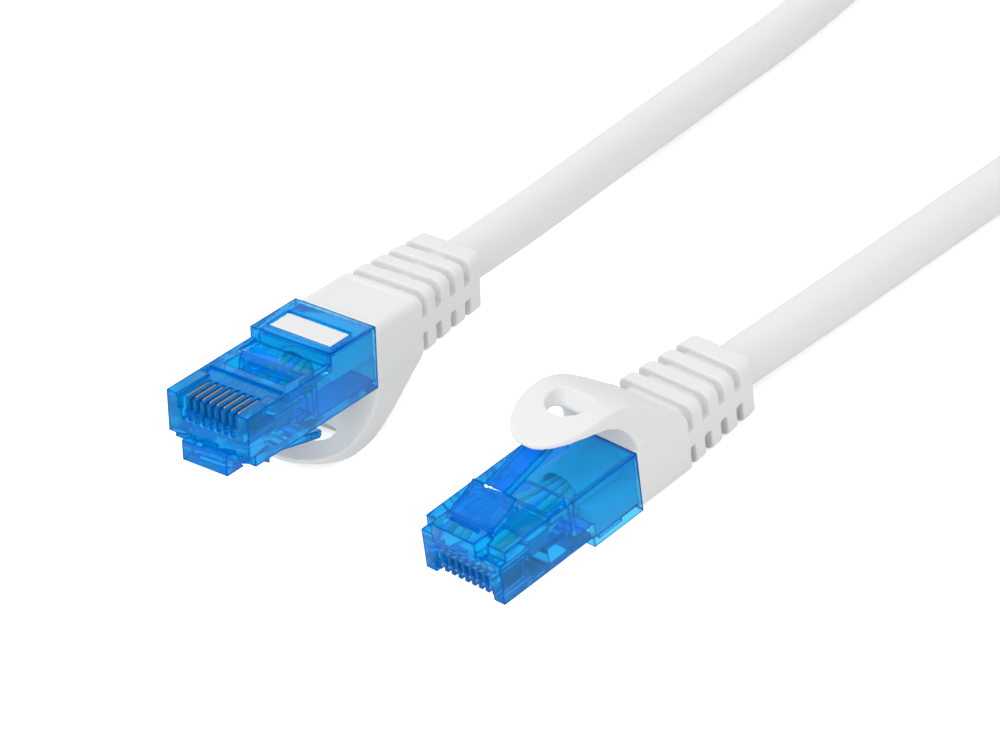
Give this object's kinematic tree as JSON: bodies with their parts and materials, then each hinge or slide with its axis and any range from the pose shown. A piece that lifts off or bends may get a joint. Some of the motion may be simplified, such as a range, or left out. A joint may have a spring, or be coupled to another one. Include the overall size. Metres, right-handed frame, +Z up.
{
  "type": "ethernet patch cable",
  "caption": "Round patch cable with a clear blue modular plug at each end; each grey boot has a sprung hook that presses the plug's latch.",
  "frame": {"origin": "middle of the two plugs' footprint, on the surface that the cable lies on", "axes": "+X from the plugs' noses towards the cable, +Z up; plug A lies at +Y with its contacts up, plug B at -Y with its latch up"},
  "size_m": [0.2128, 0.0764, 0.016],
  "materials": {
    "blue_polycarbonate": "clear blue polycarbonate, polished",
    "clear_plastic": "clear, polished",
    "gold_plating": "gold plated, polished",
    "cable_jacket": "pale grey, satin",
    "boot_rubber": "pale grey, matte",
    "tie_strap": "woven strap, matte",
    "wire_white_orange": "satin insulation",
    "wire_orange": "satin insulation",
    "wire_white_green": "satin insulation",
    "wire_blue": "satin insulation",
    "wire_white_blue": "satin insulation",
    "wire_green": "satin insulation",
    "wire_white_brown": "satin insulation",
    "wire_brown": "satin insulation"
  },
  "bodies": {
    "cord_set": {"housing_a": "blue_polycarbonate", "load_bar_a": "clear_plastic", "contact_a1": "gold_plating", "wire_a1": "wire_white_orange", "contact_a2": "gold_plating", "wire_a2": "wire_orange", "contact_a3": "gold_plating", "wire_a3": "wire_white_green", "contact_a4": "gold_plating", "wire_a4": "wire_blue", "contact_a5": "gold_plating", "wire_a5": "wire_white_blue", "contact_a6": "gold_plating", "wire_a6": "wire_green", "contact_a7": "gold_plating", "wire_a7": "wire_white_brown", "contact_a8": "gold_plating", "wire_a8": "wire_brown", "jacket_end_a": "cable_jacket", "boot_a": "boot_rubber", "housing_b": "blue_polycarbonate", "load_bar_b": "clear_plastic", "contact_b1": "gold_plating", "wire_b1": "wire_white_orange", "contact_b2": "gold_plating", "wire_b2": "wire_orange", "contact_b3": "gold_plating", "wire_b3": "wire_white_green", "contact_b4": "gold_plating", "wire_b4": "wire_blue", "contact_b5": "gold_plating", "wire_b5": "wire_white_blue", "contact_b6": "gold_plating", "wire_b6": "wire_green", "contact_b7": "gold_plating", "wire_b7": "wire_white_brown", "contact_b8": "gold_plating", "wire_b8": "wire_brown", "jacket_end_b": "cable_jacket", "boot_b": "boot_rubber", "cable_a": "cable_jacket", "coil": "cable_jacket", "cable_b": "cable_jacket", "tie": "tie_strap"},
    "hook_a": {"hook_a": "boot_rubber"},
    "latch_a": {"latch_a": "blue_polycarbonate"},
    "hook_b": {"hook_b": "boot_rubber"},
    "latch_b": {"latch_b": "blue_polycarbonate"}
  },
  "joints": [
    {"name": "hook_press_a", "type": "hinge", "parent": "cord_set", "child": "hook_a", "pos_m": [-0.00082, 0.01661, 0.00635], "axis": [-0.0976, 0.9952, 0], "range_deg": [0, 10], "stiffness_Nm_per_rad": 0.1},
    {"name": "latch_flex_a", "type": "hinge", "parent": "cord_set", "child": "latch_a", "pos_m": [-0.02232, 0.0145, 0.0087], "axis": [0.0976, -0.9952, 0], "range_deg": [0, 9], "stiffness_Nm_per_rad": 0.05},
    {"name": "hook_press_b", "type": "hinge", "parent": "cord_set", "child": "hook_b", "pos_m": [0.006, -0.01733, 0.0079], "axis": [0, -1, 0], "range_deg": [0, 10], "stiffness_Nm_per_rad": 0.1},
    {"name": "latch_flex_b", "type": "hinge", "parent": "cord_set", "child": "latch_b", "pos_m": [-0.01572, -0.01733, 0.0085], "axis": [0, 1, 0], "range_deg": [0, 9], "stiffness_Nm_per_rad": 0.05}
  ],
  "couplings": [
    {"joint": "latch_flex_a", "follows": "hook_press_a", "ratio": 0.9},
    {"joint": "latch_flex_b", "follows": "hook_press_b", "ratio": 0.9}
  ]
}
